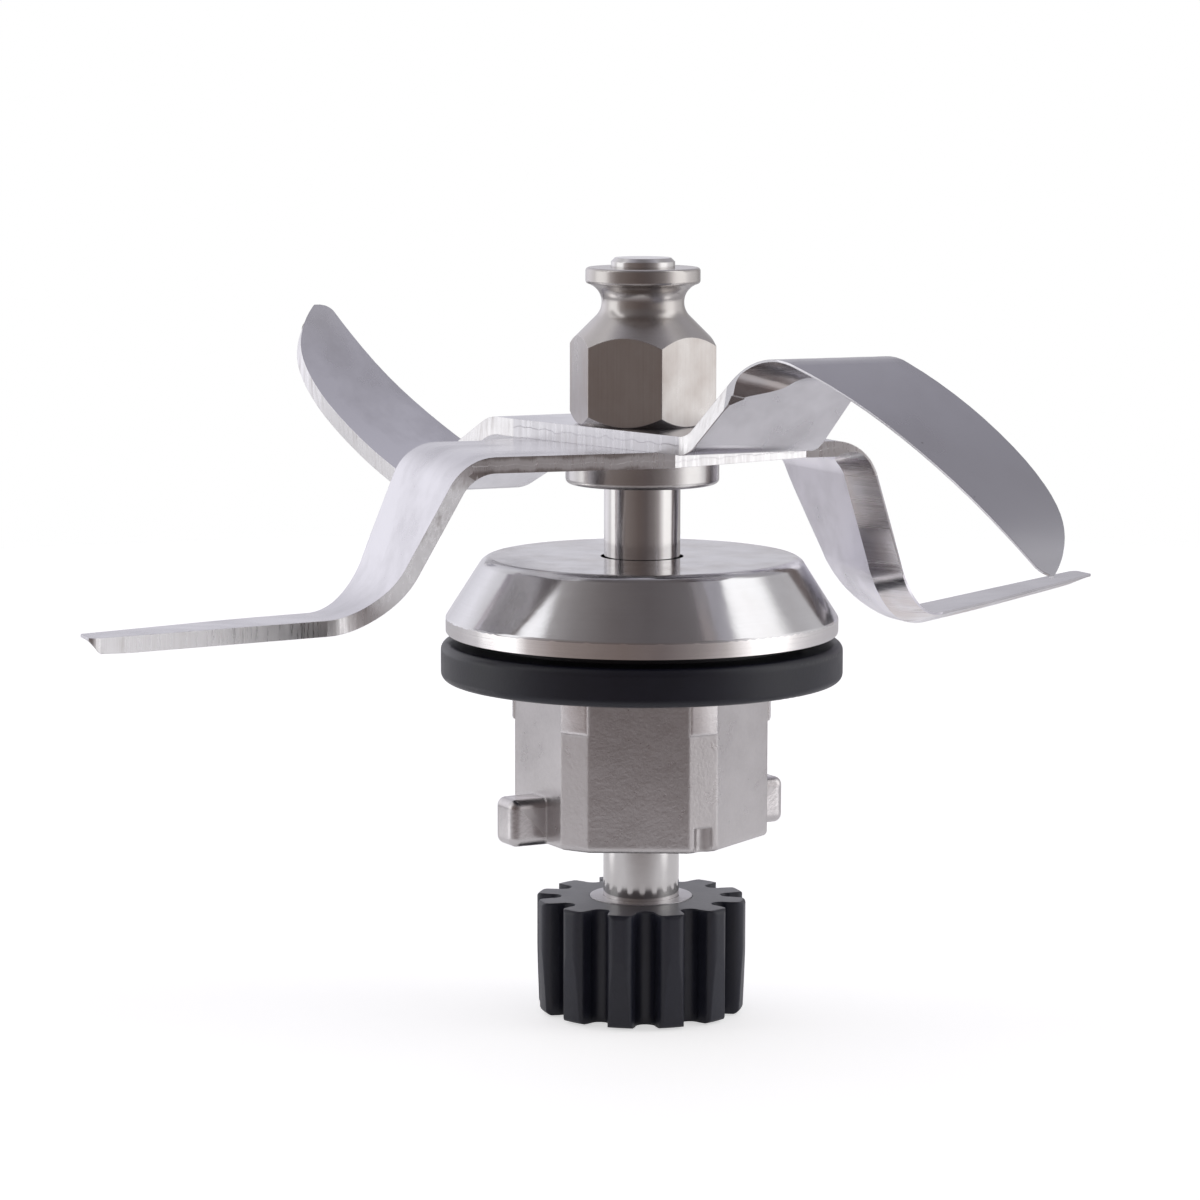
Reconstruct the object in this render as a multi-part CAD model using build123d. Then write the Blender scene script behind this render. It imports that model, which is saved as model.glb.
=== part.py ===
from build123d import *
import os
from math import cos, degrees, hypot, radians, sin, sqrt

os.makedirs("parts", exist_ok=True)

# Blade assembly of a kitchen blender, in millimetres.
# The origin is on the shaft axis at the underside of the drive gear, and +Z runs up the shaft.
# The front of the assembly faces -Y. Angles round the axis are measured from +X towards +Y.

# Heights, stacked from the underside of the drive gear
gear_height = 12.0
gear_to_housing = 6.8
body_height = 16.5
seal_height = 3.95
seal_groove_height = 0.9
rim_height = 1.75
cone_height = 5.85
crown_height = 0.45
bare_shaft_length = 7.7
collar_height = 2.7
lower_blade_thickness = 1.65
upper_blade_thickness = 1.9
nut_height = 16.25
thread_showing = 1.0

# Shaft
shaft_diameter = 8.0
shaft_start = 1.3
shaft_end_chamfer = 0.4
tang_diameter = 7.0
tang_across_flats = 5.6
thread_diameter = 6.68
clip_groove_depth = 0.4

# Drive gear and its steel insert
gear_tooth_count = 12
gear_tip_radius = 11.17
gear_root_radius = 8.4
gear_gap_width = 3.4
gear_gap_floor_width = 2.1
gear_tooth_turn = 18.1
gear_tooth_rounding = 0.95
gear_foot_radius = 10.85
gear_foot_taper = 7.0
gear_corner_rounding = 0.6
gear_top_rounding = 0.45
insert_radius = 5.4
insert_proud = 0.1
insert_recess = 1.2

# Bearing housing, outside
housing_turn = -1.3
body_across_flats = 24.6
corner_facet_apothem = 13.25
corner_facet_height = 12.3
corner_pad_radius = 13.59
corner_pad_rounding = 0.2
body_bottom_rounding = 0.6
lug_reach = 16.3
lug_width = 4.1
lug_height = 4.95
lug_rounding = 0.9
notch_radius = 1.05
notch_depth = 0.8
notch_height = 2.6
seal_groove_radius = 17.0
rim_radius = 20.6
rim_bottom_rounding = 0.35
rim_top_rounding = 0.5
seal_neck_radius = 13.59
cone_top_radius = 16.87
crown_radius = 16.2
crown_rounding = 1.2

# Bearing housing, inside
housing_mouth = 1.2
circlip_thickness = 1.0
circlip_groove_depth = 0.5
circlip_band = 1.5
circlip_ear_radius = 1.5
circlip_ear_hole_radius = 0.7
circlip_gap_angle = 26
spacer_wall = 1.4
spacer_length = 4.5
seal_pocket_radius = 8.0
top_wall = 3.2
top_bore_radius = 4.35

# Sealing ring
seal_radius = 21.1
seal_rounding = 0.8

# Ball bearings, both the same
bearing_outer_diameter = 22.0
bearing_width = 7.0
ball_diameter = 3.969
ball_count = 7
ball_pitch_radius = 7.5
shoulder_offset = 1.45
cage_pocket_clearance = 0.1
cage_thickness = 1.5
cage_skirt = 2.6
cage_crest = 1.2
shield_thickness = 0.3
shield_inset = 0.25
shield_seat_depth = 0.4

# Shaft seal
seal_case_height = 4.4
seal_case_wall = 0.6
seal_case_mouth_radius = 5.6
lip_web = 1.1
lip_length = 3.0
lip_back_radius = 5.9
spring_wire_radius = 0.4

# Retaining rings on the shaft
shaft_clip_radius = 5.3
shaft_clip_thickness = 0.8
clip_ear_radius = 0.9
clip_ear_hole_radius = 0.4
clip_gap_angle = 44

# Clearances, measured on the radius or along the axis
running_clearance = 0.05
ball_clearance = 0.03
seat_clearance = 0.01
slip_clearance = 0.02
groove_clearance = 0.05

# Collar and top nut
collar_radius = 8.04
collar_rounding = 0.55
nut_across_flats = 13.7
nut_turn = -75.5
nut_bottom_radius = 6.75
nut_bottom_chamfer = 1.1
nut_waist_height = 12.65
nut_waist_radius = 4.3
nut_waist_curve = 2.0
nut_flange_radius = 5.985
nut_flange_rounding = 0.35

# Blades, common to all arms
cutting_land = 0.25
plain_edge_break = 0.08
bevel_run_in = 3.2
outline_ease = 3.6
tip_end_width = 0.5

# Lower blade: both arms come from one outline, half a turn apart
lower_blank_aim = 25.22
lower_hub_half_width = 11.7
lower_hub_corner_offset = 1.8
lower_bevel_width = 4.2
lower_reach = 75.0
lower_tip_rounding = 1.6
lower_tip_nose = 0.4
lower_inner_bend_radius = 3.9
lower_outer_bend_radius = 8.5
lower_lead_edge = ((15.4, -7.4), (36.4, -10.4), (55.2, 0.4), (75.4, 13.5))
lower_trail_edge = ((22.8, 9.0), (41.9, -0.9), (75.4, 17.2))

# Lower blade arm that points back and right
right_arm_aim = 27.26
right_inner_bend_start = 18.27
right_inner_bend_angle = -77.66
right_outer_bend_start = 33.07
right_outer_bend_angle = 78.49

# Lower blade arm that points forward and left
left_arm_aim = 203.18
left_inner_bend_start = 20.28
left_inner_bend_angle = -69.71
left_outer_bend_start = 34.27
left_outer_bend_angle = 73.61

# Upper blade arm that points forward and drops again
upper_hub_half_width = 7.11
upper_hub_aim = -48.73
upper_bevel_width = 4.5
front_arm_aim = -67.43
front_reach = 66.25
front_rise_start = 15.23
front_rise_radius = 2.4
front_rise_angle = 51.22
front_crest_start = 23.61
front_crest_radius = 7.24
front_crest_angle = -69.11
front_sweep_radius = 67.8
front_sweep_angle = -25.94
front_lead_edge = ((16.0, -2.09), (49.6, 10.3), (66.9, 17.0))
front_trail_edge = ((9.58, 10.74), (45.2, 19.35), (53.0, 21.05), (57.0, 21.4), (67.5, 21.4))
front_tip_radius = 13.5
front_tip_start = 57.0
front_tip_nose = 1.3
front_bevel_start = 22.5

# Upper blade arm that points back and keeps rising
rear_arm_aim = 115.0
rear_reach = 64.2
rear_dip_start = 12.97
rear_dip_radius = 5.12
rear_dip_angle = -29.81
rear_rise_start = 27.97
rear_rise_radius = 5.72
rear_rise_angle = 48.67
rear_sweep_radius = 62.7
rear_sweep_angle = 26.99
rear_lead_edge = ((15.9, -2.77), (43.5, 6.3), (52.6, 9.7), (64.5, 13.6))
rear_trail_edge = ((10.03, 10.34), (45.3, 17.7), (50.0, 18.7), (54.5, 19.0), (65.0, 19.0))
rear_tip_radius = 14.5
rear_tip_start = 54.5
rear_tip_nose = 1.1
rear_bevel_start = 33.0

# Levels that follow from the stack
housing_bottom = gear_height + gear_to_housing
seal_bottom = housing_bottom + body_height
seal_top = seal_bottom + seal_height
rim_bottom = seal_top + seal_groove_height
rim_top = rim_bottom + rim_height
cone_top = rim_top + cone_height
housing_top = cone_top + crown_height
shoulder_level = housing_top + bare_shaft_length
collar_top = shoulder_level + collar_height
lower_blade_top = collar_top + lower_blade_thickness
upper_blade_top = lower_blade_top + upper_blade_thickness
nut_top = upper_blade_top + nut_height
shaft_top = nut_top + thread_showing

# Levels inside the housing
circlip_bottom = housing_bottom + housing_mouth
lower_bearing_bottom = circlip_bottom + circlip_thickness
spacer_bottom = lower_bearing_bottom + bearing_width
upper_bearing_bottom = spacer_bottom + spacer_length
upper_bearing_top = upper_bearing_bottom + bearing_width
pocket_top = housing_top - top_wall
lower_clip_bottom = lower_bearing_bottom - shaft_clip_thickness

# Radii that follow from the fits
shaft_radius = shaft_diameter / 2
thread_radius = thread_diameter / 2
groove_radius = shaft_radius - clip_groove_depth
bearing_radius = bearing_outer_diameter / 2
bearing_seat_radius = bearing_radius + seat_clearance
ball_radius = ball_diameter / 2
inner_shoulder_radius = ball_pitch_radius - shoulder_offset
outer_shoulder_radius = ball_pitch_radius + shoulder_offset


def turned(profile):
    """Solid of revolution about the shaft axis from (radius, height) points."""
    corners = [(radius, 0, height) for radius, height in profile]
    return revolve(Face(Wire.make_polygon(corners, close=True)), Axis.Z)


def prism(outline, bottom, top):
    """Flat outline drawn about the shaft axis, carried up between two heights."""
    return extrude(Plane.XY.offset(bottom) * outline, top - bottom)


def ring(outer_radius, inner_radius, bottom, top):
    """Plain ring about the shaft axis between two heights."""
    return prism(Circle(outer_radius) - Circle(inner_radius), bottom, top)


def double_flat(clearance):
    """Outline of the flatted tang, grown all round by a clearance."""
    flats = Rectangle(2 * tang_diameter, tang_across_flats + 2 * clearance)
    return Circle(tang_diameter / 2 + clearance) & (Rot(0, 0, upper_hub_aim) * flats)


# Shaft with two ring grooves, a flatted tang under the blades and a plain thread core
shaft = turned((
    (0, shaft_start),
    (shaft_radius - shaft_end_chamfer, shaft_start),
    (shaft_radius, shaft_start + shaft_end_chamfer),
    (shaft_radius, lower_clip_bottom - groove_clearance),
    (groove_radius, lower_clip_bottom - groove_clearance),
    (groove_radius, lower_bearing_bottom),
    (shaft_radius, lower_bearing_bottom),
    (shaft_radius, upper_bearing_top),
    (groove_radius, upper_bearing_top),
    (groove_radius, upper_bearing_top + shaft_clip_thickness + groove_clearance),
    (shaft_radius, upper_bearing_top + shaft_clip_thickness + groove_clearance),
    (shaft_radius, shoulder_level),
    (0, shoulder_level),
))
threaded_end = turned((
    (0, upper_blade_top),
    (thread_radius, upper_blade_top),
    (thread_radius, shaft_top - shaft_end_chamfer),
    (thread_radius - shaft_end_chamfer, shaft_top),
    (0, shaft_top),
))
shaft = shaft + prism(double_flat(0), shoulder_level, upper_blade_top) + threaded_end

# Drive gear: rounded gaps cut from a turned blank whose lower edge is well rounded
gap_floor_radius = gear_gap_floor_width / 2
gap_floor_centre = gear_root_radius + gap_floor_radius
gap_flare = (gear_gap_width - gear_gap_floor_width) / 2
gap_run = gear_tip_radius - gap_floor_centre
gap_mouth = gear_gap_width / 2 + gap_flare
gap_outline = Polygon(
    (gap_floor_centre, -gap_floor_radius),
    (gear_tip_radius + gap_run, -gap_mouth),
    (gear_tip_radius + gap_run, gap_mouth),
    (gap_floor_centre, gap_floor_radius),
    align=None,
)
gap_outline += Pos(gap_floor_centre, 0) * Circle(gap_floor_radius)
gear_pitch_angle = 360 / gear_tooth_count
first_gap_turn = gear_tooth_turn + gear_pitch_angle / 2 - 90
gear_outline = Sketch() + Circle(gear_tip_radius)
for tooth in range(gear_tooth_count):
    gear_outline -= Rot(0, 0, first_gap_turn + tooth * gear_pitch_angle) * gap_outline
tip_corners = [v for v in gear_outline.vertices() if hypot(v.X, v.Y) > gear_tip_radius - 0.01]
gear_outline = fillet(tip_corners, gear_tooth_rounding)
gear_blank = turned((
    (0, 0),
    (gear_foot_radius, 0),
    (gear_tip_radius, gear_foot_taper),
    (gear_tip_radius, gear_height),
    (0, gear_height),
))
gear_blank = fillet(gear_blank.edges().filter_by(GeomType.CIRCLE).group_by(Axis.Z)[0], gear_corner_rounding)
gear_blank = fillet(gear_blank.edges().filter_by(GeomType.CIRCLE).group_by(Axis.Z)[-1], gear_top_rounding)
insert_top = gear_height + insert_proud
drive_gear = prism(gear_outline, 0, gear_height) & gear_blank
drive_gear -= prism(Circle(insert_radius + slip_clearance), insert_recess, insert_top)
gear_insert = ring(insert_radius, shaft_radius + slip_clearance, insert_recess, insert_top)

# Bearing housing: six-sided body with turned corners under a round conical flange
facets = RegularPolygon(body_across_flats / 2, 6, major_radius=False, rotation=housing_turn)
corner_facets = RegularPolygon(corner_facet_apothem, 6, major_radius=False, rotation=housing_turn + 30)
bearing_housing = prism(facets & corner_facets, housing_bottom, seal_bottom)
bearing_housing = fillet(bearing_housing.edges().group_by(Axis.Z)[0], body_bottom_rounding)
half_apothem_gap = body_across_flats / 2 - corner_facet_apothem * cos(radians(30))
pad_width = 2 * half_apothem_gap / sin(radians(30))
pad_bottom = housing_bottom + corner_facet_height
pad = prism(Pos(corner_pad_radius / 2, 0) * Rectangle(corner_pad_radius, pad_width), pad_bottom, seal_bottom)
pad &= prism(Circle(corner_pad_radius), pad_bottom, seal_bottom)
pad_edges = [e for e in pad.edges() if e.center().X > corner_facet_apothem and e.center().Z < seal_bottom - 0.1]
pad = fillet(pad_edges, corner_pad_rounding)
for corner in range(6):
    bearing_housing += Rot(0, 0, housing_turn + 60 * corner) * pad
flange = turned((
    (0, seal_bottom),
    (seal_neck_radius, seal_bottom),
    (seal_neck_radius, seal_top),
    (seal_groove_radius, seal_top),
    (seal_groove_radius, rim_bottom),
    (rim_radius, rim_bottom),
    (rim_radius, rim_top),
    (cone_top_radius, cone_top),
    (crown_radius, housing_top),
    (0, housing_top),
))
rim_edges = [e for e in flange.edges().filter_by(GeomType.CIRCLE) if abs(e.radius - rim_radius) < 0.01]
rim_edges.sort(key=lambda e: e.center().Z)
flange = fillet(rim_edges[0], rim_bottom_rounding)
rim_edges = [e for e in flange.edges().filter_by(GeomType.CIRCLE) if abs(e.radius - rim_radius) < 0.01]
rim_edges.sort(key=lambda e: e.center().Z)
flange = fillet(rim_edges[-1], rim_top_rounding)
crown_edges = [e for e in flange.edges().filter_by(GeomType.CIRCLE) if e.center().Z > cone_top - 0.01]
flange = fillet(crown_edges, crown_rounding)
bearing_housing += flange

# Two lugs stand out from opposite facets, and one corner facet has a half-round notch at its foot
lug_core = body_across_flats / 4
lug = Part() + Box(lug_reach - lug_core, lug_width, lug_height, align=(Align.MIN, Align.CENTER, Align.MIN))
lug = Pos(lug_core, 0, housing_bottom) * lug
lug_edges = [e for e in lug.edges() if e.center().X > lug_core + 0.1]
lug = fillet(lug_edges, lug_rounding)
for side in range(2):
    bearing_housing += Rot(0, 0, housing_turn + 30 + 180 * side) * lug
notch = Cylinder(notch_radius, notch_height * 2)
notch = Pos(corner_facet_apothem + notch_radius - notch_depth, 0, housing_bottom) * notch
bearing_housing -= Rot(0, 0, housing_turn - 60) * notch

# Inside: bearing seat open at the bottom, ring groove, seal pocket and bore in the top wall
groove_outer_radius = bearing_radius + circlip_groove_depth
bearing_housing -= prism(Circle(bearing_seat_radius), housing_bottom, upper_bearing_top)
bearing_housing -= prism(Circle(groove_outer_radius), circlip_bottom - groove_clearance, lower_bearing_bottom)
bearing_housing -= prism(Circle(seal_pocket_radius), upper_bearing_top, pocket_top)
bearing_housing -= prism(Circle(top_bore_radius), pocket_top, housing_top)

# Soft sealing ring under the flange
sealing_ring = ring(seal_radius, seal_neck_radius + slip_clearance, seal_bottom, seal_top)
seal_edges = [e for e in sealing_ring.edges().filter_by(GeomType.CIRCLE) if e.radius > seal_radius - 0.01]
sealing_ring = fillet(seal_edges, seal_rounding)


def split_ring(outer_radius, inner_radius, ear_centre, ear_radius, hole_radius, gap_angle, bottom, top):
    """Retaining ring with a gap at the front and a drilled ear at each end."""
    outline = Circle(outer_radius) - Circle(inner_radius)
    half_gap = radians(gap_angle / 2)
    reach = 2 * outer_radius
    outline -= Polygon((0, 0), (-reach * sin(half_gap), -reach * cos(half_gap)),
                       (reach * sin(half_gap), -reach * cos(half_gap)), align=None)
    for side in (-1, 1):
        ear_turn = side * (gap_angle / 2 + degrees(ear_radius / ear_centre))
        spot = Rot(0, 0, ear_turn) * Pos(0, -ear_centre)
        outline += spot * Circle(ear_radius)
        outline -= spot * Circle(hole_radius)
    return prism(outline, bottom, top)


# Retaining rings: one in the housing mouth, two on the shaft against the inner rings
bearing_circlip = split_ring(
    groove_outer_radius - slip_clearance, bearing_radius - circlip_band, bearing_radius - circlip_ear_radius,
    circlip_ear_radius, circlip_ear_hole_radius, circlip_gap_angle, circlip_bottom, lower_bearing_bottom
)
shaft_clip_hold = groove_radius + slip_clearance
shaft_clip_ear = shaft_radius + clip_ear_radius + slip_clearance
shaft_clip_lower = split_ring(
    shaft_clip_radius, shaft_clip_hold, shaft_clip_ear, clip_ear_radius, clip_ear_hole_radius,
    clip_gap_angle, lower_clip_bottom, lower_bearing_bottom
)
shaft_clip_upper = split_ring(
    shaft_clip_radius, shaft_clip_hold, shaft_clip_ear, clip_ear_radius, clip_ear_hole_radius,
    clip_gap_angle, upper_bearing_top, upper_bearing_top + shaft_clip_thickness
)
spacer_sleeve = ring(bearing_radius, bearing_radius - spacer_wall, spacer_bottom, upper_bearing_bottom)


def ball_bearing(bottom):
    """Deep groove bearing: two grooved rings, a crown cage of balls and a shield on each face."""
    middle = bottom + bearing_width / 2
    top = bottom + bearing_width
    race = Pos(0, 0, middle) * Torus(ball_pitch_radius, ball_radius + ball_clearance)
    shield_seat_radius = outer_shoulder_radius + shield_seat_depth
    seat_depth = shield_inset + shield_thickness
    outer_ring = ring(bearing_radius, outer_shoulder_radius, bottom, top) - race
    outer_ring -= ring(shield_seat_radius, outer_shoulder_radius - 1, bottom, bottom + seat_depth)
    outer_ring -= ring(shield_seat_radius, outer_shoulder_radius - 1, top - seat_depth, top)
    inner_ring = ring(inner_shoulder_radius, shaft_radius + seat_clearance, bottom, top) - race
    pockets = []
    balls = []
    for index in range(ball_count):
        spot = Rot(0, 0, index * 360 / ball_count) * Pos(ball_pitch_radius, 0, middle)
        pockets.append(spot * Sphere(ball_radius + cage_pocket_clearance))
        balls.append(spot * Sphere(ball_radius))
    half_cage = cage_thickness / 2
    cage = ring(ball_pitch_radius + half_cage, ball_pitch_radius - half_cage,
                middle - cage_skirt, middle + cage_crest)
    for pocket in pockets:
        cage -= pocket
    shield_outer = shield_seat_radius - seat_clearance
    shield_inner = inner_shoulder_radius + 6 * running_clearance
    low_shield = ring(shield_outer, shield_inner, bottom + shield_inset, bottom + seat_depth)
    high_shield = ring(shield_outer, shield_inner, top - seat_depth, top - shield_inset)
    return {
        "outer_ring": outer_ring,
        "inner_ring": inner_ring,
        "cage": cage,
        "balls": Compound(children=balls),
        "bottom_shield": low_shield,
        "top_shield": high_shield,
    }


# Shaft seal pressed into the pocket: steel case, soft lip and a spring round the lip
seal_case_radius = seal_pocket_radius - slip_clearance
seal_case_inner = seal_case_radius - seal_case_wall
seal_case_bottom = pocket_top - seal_case_height
seal_case = ring(seal_case_radius, seal_case_inner, seal_case_bottom, pocket_top)
seal_case += ring(seal_case_radius, seal_case_mouth_radius, pocket_top - seal_case_wall, pocket_top)
lip_top = pocket_top - seal_case_wall
lip_outer = seal_case_inner - slip_clearance
lip_edge = shaft_radius + running_clearance
lip_slope = lip_back_radius - lip_edge
seal_lip = turned((
    (lip_outer, lip_top),
    (lip_edge + lip_slope * 0.5, lip_top),
    (lip_edge, lip_top - lip_length * 0.7),
    (lip_edge + lip_slope * 0.3, lip_top - lip_length),
    (lip_back_radius, lip_top - lip_length),
    (lip_back_radius, lip_top - lip_web),
    (lip_outer, lip_top - lip_web),
))
spring_radius = lip_back_radius + spring_wire_radius + slip_clearance
garter_spring = Pos(0, 0, lip_top - lip_length + spring_wire_radius) * Torus(spring_radius, spring_wire_radius)

# Collar between the shaft shoulder and the lower blade
blade_collar = prism(Circle(collar_radius) - double_flat(slip_clearance), shoulder_level, collar_top)
collar_foot = [e for e in blade_collar.edges().group_by(Axis.Z)[0] if e.geom_type == GeomType.CIRCLE]
collar_foot = [e for e in collar_foot if e.radius > collar_radius - 0.01]
blade_collar = fillet(collar_foot, collar_rounding)

# Top nut: six-sided foot, 45 degree cone, hollow waist and a round head
hex_corner_radius = nut_across_flats / 2 / cos(radians(30))
waist_level = upper_blade_top + nut_waist_height
waist_centre = nut_waist_radius + nut_waist_curve
cone_end_radius = waist_centre - nut_waist_curve * cos(radians(45))
cone_end_level = waist_level - nut_waist_curve * sin(radians(45))
cone_start_level = cone_end_level - (hex_corner_radius - cone_end_radius)
head_offset = waist_centre - nut_flange_radius
head_bottom = waist_level + sqrt(nut_waist_curve ** 2 - head_offset ** 2)
nut_bore = thread_radius + slip_clearance
foot_line = Polyline(
    (nut_bore, 0, upper_blade_top),
    (nut_bottom_radius, 0, upper_blade_top),
    (hex_corner_radius, 0, upper_blade_top + nut_bottom_chamfer),
    (hex_corner_radius, 0, cone_start_level),
    (cone_end_radius, 0, cone_end_level),
)
waist_line = ThreePointArc(
    (cone_end_radius, 0, cone_end_level),
    (nut_waist_radius, 0, waist_level),
    (nut_flange_radius, 0, head_bottom),
)
head_line = Polyline(
    (nut_flange_radius, 0, head_bottom),
    (nut_flange_radius, 0, nut_top),
    (nut_bore, 0, nut_top),
    (nut_bore, 0, upper_blade_top),
)
nut_profile = make_face(foot_line + waist_line + head_line)
top_nut = revolve(nut_profile, Axis.Z)
head_edges = [e for e in top_nut.edges().filter_by(GeomType.CIRCLE) if abs(e.radius - nut_flange_radius) < 0.01]
top_nut = fillet(head_edges, nut_flange_rounding)
nut_outline = RegularPolygon(nut_across_flats / 2, 6, major_radius=False, rotation=nut_turn)
top_nut &= prism(nut_outline, upper_blade_top, waist_level) + prism(Circle(collar_radius), waist_level, nut_top)


def along(points, s):
    """Offset of an edge at distance s, from straight lines between its points."""
    for (s0, v0), (s1, v1) in zip(points, points[1:]):
        if s <= s1 or (s1, v1) == points[-1]:
            return v0 + (v1 - v0) * (s - s0) / (s1 - s0)


def eased(points, s, first):
    """The same offset, with each corner of the outline beyond a first distance eased into a curve."""
    offset = along(points, s)
    for (s0, v0), (s1, v1), (s2, v2) in zip(points, points[1:], points[2:]):
        reach = min(outline_ease, s1 - max(s0, first), s2 - s1)
        if reach > 0 and abs(s - s1) < reach:
            turn = (v2 - v1) / (s2 - s1) - (v1 - v0) / (s1 - s0)
            offset += turn * (reach - abs(s - s1)) ** 2 / (4 * reach)
    return offset


def turn_points(points, angle):
    """Points of an outline turned about the shaft axis."""
    c = cos(radians(angle))
    k = sin(radians(angle))
    return [(c * x - k * y, k * x + c * y) for x, y in points]


class Arm:
    """One blade arm. Its edges are drawn on the flat blank, then the strip is bent across its length.

    Distances s run outward along the blank from the shaft axis, and v runs to the left of the arm.
    The leading edge has the smaller v. It is ground from below, which leaves a narrow land.
    """

    def __init__(self, aim, bends, lead, trail, thickness, middle_level):
        self.aim = aim
        self.bends = bends
        self.lead = lead
        self.trail = trail
        self.half = thickness / 2
        self.middle_level = middle_level

    def grind(self, bevel_width, bevel_start, reach, tip_start, tip_radius, nose, end_ground=False):
        """Bevel along the leading edge, rounding of both edges at the tip, bevel of the end."""
        self.end_ground = end_ground
        self.bevel_width = bevel_width
        self.bevel_start = bevel_start
        self.reach = reach
        self.tip_start = tip_start
        self.tip_radius = tip_radius
        self.nose = nose

    def trail_at(self, s):
        over = max(0, s - self.tip_start)
        drop = self.tip_radius - sqrt(self.tip_radius ** 2 - over ** 2)
        return eased(self.trail, s, self.bends[0][0]) - drop

    def lead_at(self, s):
        over = min(max(0, s - (self.reach - self.nose)), self.nose)
        rise = self.nose - sqrt(self.nose ** 2 - over ** 2)
        return min(eased(self.lead, s, self.bends[0][0]) + rise, self.trail_at(s) - tip_end_width)

    def place(self, s, v, up):
        """Point in space for blank distance s, offset v and height above the middle of the sheet."""
        x = z = slope = used = 0.0
        for start, radius, angle in self.bends:
            if s <= start:
                break
            x += (start - used) * cos(slope)
            z += (start - used) * sin(slope)
            turn = min((s - start) / radius, radians(abs(angle)))
            side = 1 if angle > 0 else -1
            x += radius * side * (sin(slope + side * turn) - sin(slope))
            z -= radius * side * (cos(slope + side * turn) - cos(slope))
            slope += side * turn
            used = start + radius * turn
        x += (s - used) * cos(slope) - up * sin(slope)
        z += (s - used) * sin(slope) + up * cos(slope)
        (px, py), = turn_points([(x, v)], self.aim)
        return (px, py, z + self.middle_level)

    def section(self, s):
        """Closed outline of the sheet across the arm, with the ground bevel under the leading edge."""
        lead = self.lead_at(s)
        trail = self.trail_at(s)
        grown = min(max((s - self.bevel_start) / bevel_run_in, 0), 1)
        grown = grown * grown * (3 - 2 * grown)
        bevel = plain_edge_break + grown * (self.bevel_width - plain_edge_break)
        thickness = 2 * self.half
        plain_land = thickness - plain_edge_break
        land = plain_land + grown * (cutting_land - plain_land)
        inner = min(lead + bevel, trail - plain_edge_break)
        depth = land + (thickness - land) * (inner - lead) / bevel
        if self.end_ground:
            over = max(0, s - self.tip_start) / (self.reach - self.tip_start)
            depth = min(depth, thickness - over * (thickness - cutting_land))
        corners = (
            (lead, self.half),
            (lead, self.half - land),
            (inner, self.half - depth),
            (trail, self.half - depth),
            (trail, self.half),
        )
        return Wire.make_polygon([self.place(s, v, up) for v, up in corners], close=True)

    def span(self, stations, ruled=False):
        return Solid.make_loft([self.section(s) for s in stations], ruled)

    def bend_end(self, index):
        start, radius, angle = self.bends[index]
        return start + radius * radians(abs(angle))

    def solids(self, steps=8):
        """Bent strip from the first bend line to the tip."""
        pieces = []
        last = len(self.bends) - 1
        for index, (start, radius, angle) in enumerate(self.bends):
            end = self.bend_end(index)
            if index < last or self.reach - end > radius:
                pieces.append(self.span(even_steps(start, end, steps)))
                begin = end
            else:
                begin = start
            if index < last and self.bends[index + 1][0] - end > 0.01:
                pieces.append(self.span(even_steps(end, self.bends[index + 1][0], steps), ruled=True))
        nose_start = self.reach - self.nose
        tip = [self.tip_start + (nose_start - self.tip_start) * share for share in (0.35, 0.65, 0.85, 1)]
        nose = [self.reach - self.nose * share for share in (1, 0.7, 0.4, 0.15, 0)]
        if begin == start:
            pieces.append(self.span(even_steps(begin, self.tip_start, steps) + tip))
            pieces.append(self.span(nose, ruled=True))
        else:
            pieces.append(self.span(even_steps(begin, self.tip_start, 2 * steps) + tip + nose[1:], ruled=True))
        return pieces

    def hub_corners(self):
        """Corners of the flat part on this side of the hub, from the lead edge round to the trail edge."""
        limit = self.bends[0][0]
        corners = [point for point in self.lead if point[0] < limit]
        corners.append((limit, self.lead_at(limit)))
        corners.append((limit, self.trail_at(limit)))
        corners += [point for point in reversed(self.trail[1:]) if point[0] < limit]
        return turn_points(corners, self.aim)


def even_steps(first, last, count):
    """Equally spaced values from first to last."""
    return [first + (last - first) * step / count for step in range(count + 1)]


def blade(arms, bottom, top):
    """Flat hub with its flatted hole, joined to its bent arms."""
    corners = arms[0].hub_corners() + arms[1].hub_corners()
    solid = Part() + prism(Polygon(*corners, align=None), bottom, top)
    for arm in arms:
        for piece in arm.solids():
            solid += piece
    return solid - prism(double_flat(slip_clearance), bottom, top)


# Lower blade
lower_middle = collar_top + lower_blade_thickness / 2
lower_arms = []
for aim, half_turn, inner_start, inner_angle, outer_start, outer_angle in (
    (right_arm_aim, 0, right_inner_bend_start, right_inner_bend_angle, right_outer_bend_start, right_outer_bend_angle),
    (left_arm_aim, 180, left_inner_bend_start, left_inner_bend_angle, left_outer_bend_start, left_outer_bend_angle),
):
    off_aim = lower_blank_aim + half_turn - aim
    lead = ((-lower_hub_corner_offset, -lower_hub_half_width),) + lower_lead_edge
    trail = ((lower_hub_corner_offset, lower_hub_half_width),) + lower_trail_edge
    bends = (
        (inner_start, lower_inner_bend_radius, inner_angle),
        (outer_start, lower_outer_bend_radius, outer_angle),
    )
    arm = Arm(aim, bends, turn_points(lead, off_aim), turn_points(trail, off_aim), lower_blade_thickness, lower_middle)
    tip_start = lower_reach - lower_tip_rounding * 0.8
    arm.grind(
        lower_bevel_width, inner_start, lower_reach, tip_start, lower_tip_rounding, lower_tip_nose, end_ground=True
    )
    lower_arms.append(arm)
lower_blade = blade(lower_arms, collar_top, lower_blade_top)

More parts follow.
